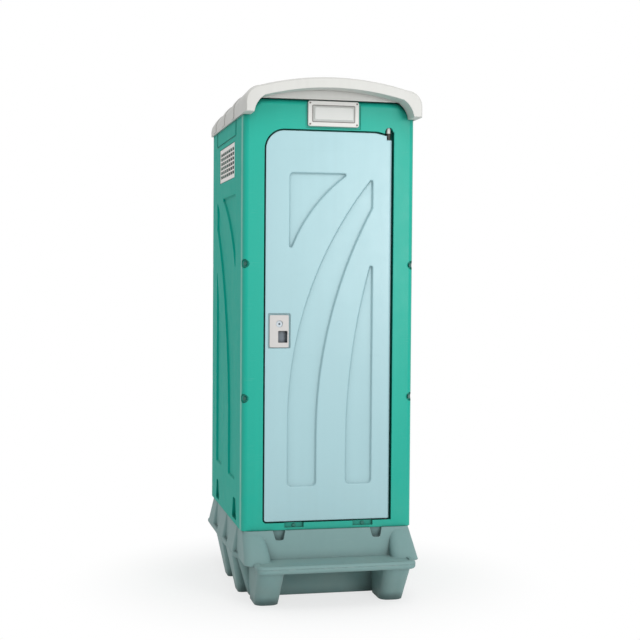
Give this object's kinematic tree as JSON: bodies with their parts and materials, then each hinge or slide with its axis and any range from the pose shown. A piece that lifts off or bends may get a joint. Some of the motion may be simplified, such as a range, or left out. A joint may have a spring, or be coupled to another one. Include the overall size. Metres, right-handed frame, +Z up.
{
  "type": "portable toilet cabin",
  "caption": "Portable toilet cabin: moulded tank base with step, green double-skinned walls, pale blue pivot door, arched white roof with visor, fitted inside.",
  "frame": {"origin": "on the ground in the middle of the footprint", "axes": "+Z up, the door faces -Y, +X to the right of someone in front of the door"},
  "size_m": [0.904, 1.365, 2.613],
  "materials": {
    "green_shell": "satin",
    "door_blue": "satin",
    "roof_white": "satin",
    "tank_grey": "satin",
    "white_plastic": "satin",
    "lens_white": "gloss",
    "floor_grey": "matte",
    "bowl_ivory": "gloss",
    "steel": "satin",
    "dark_bush": "satin",
    "rubber_black": "matte",
    "dial_blue": "satin",
    "board_white": "matte",
    "paper_white": "matte",
    "pipe_grey": "satin"
  },
  "bodies": {
    "cabin": {"tank_lower": "tank_grey", "tank_upper": "tank_grey", "floor_panel": "floor_grey", "front_wall": "green_shell", "left_wall": "green_shell", "right_wall": "green_shell", "back_wall": "green_shell", "roof": "roof_white", "left_vent_grille": "white_plastic", "right_vent_grille": "white_plastic", "corner_bolts": "steel", "sill_bolts": "steel", "lamp_frame": "white_plastic", "lamp_lens": "lens_white", "lamp_board": "board_white", "lamp_screws": "steel", "hinge_pin_top": "steel", "hinge_pin_bottom": "steel", "hinge_collar_top": "white_plastic", "hinge_washer_bottom": "dark_bush", "door_bumpers": "rubber_black", "strike_plate": "steel", "toilet_bowl": "bowl_ivory", "bowl_pedestal": "bowl_ivory", "drop_tube": "bowl_ivory", "seat_hinge_pin": "steel", "seat_hinge_blocks": "bowl_ivory", "flap_bracket": "tank_grey", "flap_pin": "steel", "pedal_bracket": "steel", "pedal_pin": "steel", "water_tank": "white_plastic", "flush_pipe": "pipe_grey", "paper_bracket": "white_plastic", "paper_spindle": "white_plastic", "cover_pin": "steel", "vent_pipe": "pipe_grey", "vent_cap": "dark_bush", "pipe_clips": "white_plastic", "corner_shelf": "white_plastic", "coat_hook": "steel", "suction_port": "dark_bush"},
    "door": {"door_panel": "door_blue", "hinge_bush_top": "dark_bush", "latch_plate": "white_plastic", "latch_cup": "pipe_grey", "lock_case": "white_plastic", "inside_pull": "white_plastic"},
    "lock_turn": {"thumb_turn": "white_plastic", "indicator_dial": "dial_blue"},
    "bolt": {"lock_bolt": "steel"},
    "seat_ring": {"seat": "bowl_ivory", "seat_bumpers": "rubber_black"},
    "seat_lid": {"lid": "bowl_ivory"},
    "flap": {"flap_valve": "rubber_black"},
    "pedal": {"foot_pedal": "dark_bush"},
    "water_cap": {"filler_cap": "dial_blue"},
    "roll": {"paper_roll": "paper_white"},
    "roll_cover": {"paper_cover": "steel"},
    "port_cap": {"suction_cap": "dark_bush"}
  },
  "joints": [
    {"name": "door_swing", "type": "hinge", "parent": "cabin", "child": "door", "pos_m": [0.3, -0.4145, 1.35], "axis": [0, 0, 1], "range_deg": [0, 95]},
    {"name": "thumb_turn_rotate", "type": "hinge", "parent": "door", "child": "lock_turn", "pos_m": [-0.247, -0.4145, 1.364], "axis": [0, 1, 0], "range_deg": [0, 90]},
    {"name": "bolt_slide", "type": "slide", "parent": "door", "child": "bolt", "axis": [-1, 0, 0], "range_m": [0, 0.028]},
    {"name": "seat_lift", "type": "hinge", "parent": "cabin", "child": "seat_ring", "pos_m": [0, 0.4595, 0.764], "axis": [-1, 0, 0], "range_deg": [0, 92]},
    {"name": "lid_swing", "type": "hinge", "parent": "cabin", "child": "seat_lid", "pos_m": [0, 0.4595, 0.764], "axis": [-1, 0, 0], "range_deg": [-96, 0]},
    {"name": "pedal_press", "type": "hinge", "parent": "cabin", "child": "pedal", "pos_m": [0.262, 0.1675, 0.432], "axis": [1, 0, 0], "range_deg": [0, 16], "stiffness_Nm_per_rad": 6, "springref_deg": -8.59},
    {"name": "flap_open", "type": "hinge", "parent": "cabin", "child": "flap", "pos_m": [0, 0.2815, 0.3292], "axis": [1, 0, 0], "range_deg": [0, 70]},
    {"name": "water_cap_turn", "type": "hinge", "parent": "cabin", "child": "water_cap", "pos_m": [-0.11, 0.5725, 1.31], "axis": [0, 0, 1], "range_deg": [0, 120]},
    {"name": "paper_roll_spin", "type": "hinge", "parent": "cabin", "child": "roll", "pos_m": [-0.325, 0.1275, 1.012], "axis": [0, 1, 0], "continuous": true},
    {"name": "paper_cover_lift", "type": "hinge", "parent": "cabin", "child": "roll_cover", "pos_m": [-0.36437, 0.1275, 1.05892], "axis": [0, -1, 0], "range_deg": [0, 75]},
    {"name": "suction_cap_turn", "type": "hinge", "parent": "cabin", "child": "port_cap", "pos_m": [-0.25, 0.6675, 0.285], "axis": [0, 1, 0], "range_deg": [0, 90]}
  ],
  "couplings": [
    {"joint": "thumb_turn_rotate", "follows": "bolt_slide", "rad_per_m": 56.1},
    {"joint": "flap_open", "follows": "pedal_press", "ratio": 4.375}
  ]
}
